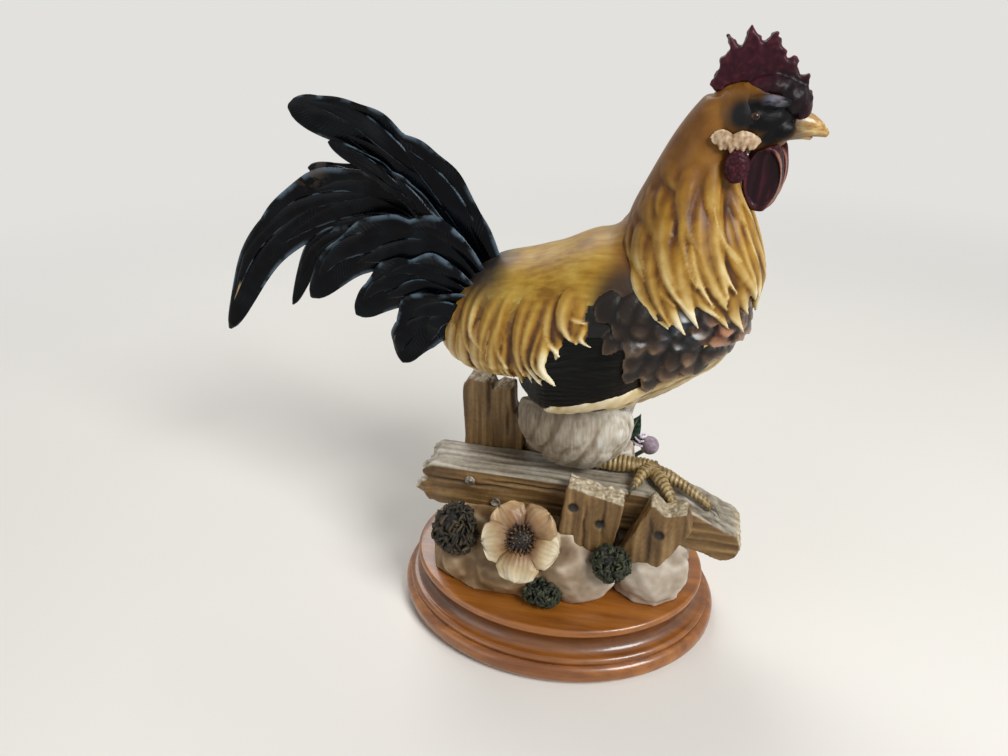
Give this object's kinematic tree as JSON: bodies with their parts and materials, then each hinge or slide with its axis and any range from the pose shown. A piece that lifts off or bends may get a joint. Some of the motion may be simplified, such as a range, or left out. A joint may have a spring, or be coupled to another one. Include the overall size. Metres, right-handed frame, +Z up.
{
  "type": "rooster figurine on a fence",
  "caption": "Painted rooster ornament perched on a broken rail fence with posts, rocks, a flower and moss, on a moulded oval wooden plinth.",
  "frame": {"origin": "middle of the felt under the oval plinth, on the surface that the ornament stands on", "axes": "+Z up, +X the way the rooster faces, along the plinth's long axis, +Y to the rooster's left, away from the flower"},
  "size_m": [0.2639, 0.123, 0.262],
  "materials": {
    "stained_wood": "satin varnish over stain",
    "felt": "felt",
    "steel": "plain",
    "rock_paint": "painted cast resin",
    "fence_paint": "painted cast resin",
    "nail_paint": "painted",
    "petal_paint": "painted cast resin",
    "seed_paint": "painted cast resin",
    "moss_paint": "painted cast resin",
    "leaf_paint": "painted cast resin",
    "blossom_paint": "painted cast resin",
    "saddle_paint": "painted cast resin, satin",
    "hackle_paint": "painted cast resin, satin",
    "wing_paint": "painted cast resin, satin",
    "down_paint": "painted cast resin",
    "foot_paint": "painted cast resin",
    "head_paint": "painted cast resin, satin",
    "comb_paint": "painted cast resin, glossy",
    "horn_paint": "painted cast resin",
    "eye_paint": "glossy",
    "cream_paint": "painted cast resin",
    "tail_paint": "painted cast resin, glossy"
  },
  "bodies": {
    "root": {"beak_lower": "horn_paint", "beak_upper": "horn_paint", "body": "saddle_paint", "comb": "comb_paint", "ear_lobe_left": "comb_paint", "ear_lobe_right": "comb_paint", "ear_tuft_left": "cream_paint", "ear_tuft_right": "cream_paint", "eye_left": "eye_paint", "eye_right": "eye_paint", "felt_pad": "felt", "fence_post_front": "fence_paint", "fence_post_rear": "fence_paint", "fence_rail": "fence_paint", "fence_stake_right": "fence_paint", "flower_centre": "seed_paint", "flower_petal_1": "petal_paint", "flower_petal_2": "petal_paint", "flower_petal_3": "petal_paint", "flower_petal_4": "petal_paint", "flower_petal_5": "petal_paint", "foot_left": "foot_paint", "foot_right": "foot_paint", "head": "head_paint", "leg_rods": "steel", "moss_front": "moss_paint", "moss_left": "moss_paint", "moss_right": "moss_paint", "neck_dowel": "steel", "neck_hackle": "hackle_paint", "plinth": "stained_wood", "plinth_screws": "steel", "rail_nails": "nail_paint", "rear_blossom": "blossom_paint", "rear_leaf": "leaf_paint", "rock_main": "rock_paint", "rock_rear": "rock_paint", "rock_right": "rock_paint", "tail_far_blade": "tail_paint", "tail_great_sickle": "tail_paint", "tail_inner_sickle": "tail_paint", "tail_lower_covert": "tail_paint", "tail_near_blade": "tail_paint", "tail_near_sickle": "tail_paint", "tail_side_covert": "tail_paint", "tail_top_sickle": "tail_paint", "thigh_left": "down_paint", "thigh_right": "down_paint", "wattle_left": "comb_paint", "wattle_right": "comb_paint", "wing_left": "wing_paint", "wing_right": "wing_paint"}
  },
  "joints": []
}
